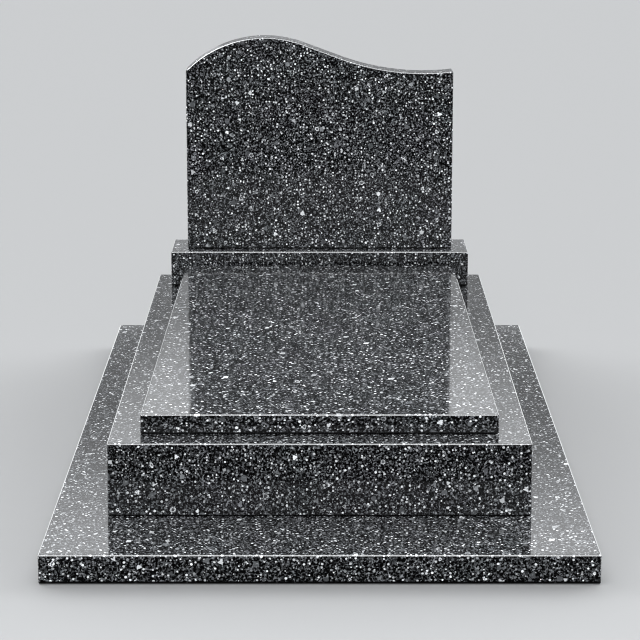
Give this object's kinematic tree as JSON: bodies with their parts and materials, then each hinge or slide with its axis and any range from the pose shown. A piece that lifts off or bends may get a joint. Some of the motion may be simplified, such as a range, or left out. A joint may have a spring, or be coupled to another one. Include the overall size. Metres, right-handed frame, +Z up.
{
  "type": "headstone with grave ledger",
  "caption": "Polished speckled-granite grave monument: ground slab, tomb body, sloping ledger, low base and an upright headstone with an asymmetric wave top.",
  "frame": {"origin": "centre of the ground slab's underside, where the monument meets the ground", "axes": "+Z up, +Y from the foot of the grave to the headstone, +X to the right of someone who stands at the foot and reads the headstone"},
  "size_m": [1.266, 2.365, 1.001],
  "materials": {
    "granite": "polished dark speckled granite, black and grey grains with white flecks"
  },
  "bodies": {
    "root": {"ground_slab": "granite", "tomb_body": "granite", "ledger": "granite", "headstone_base": "granite", "headstone": "granite"}
  },
  "joints": []
}
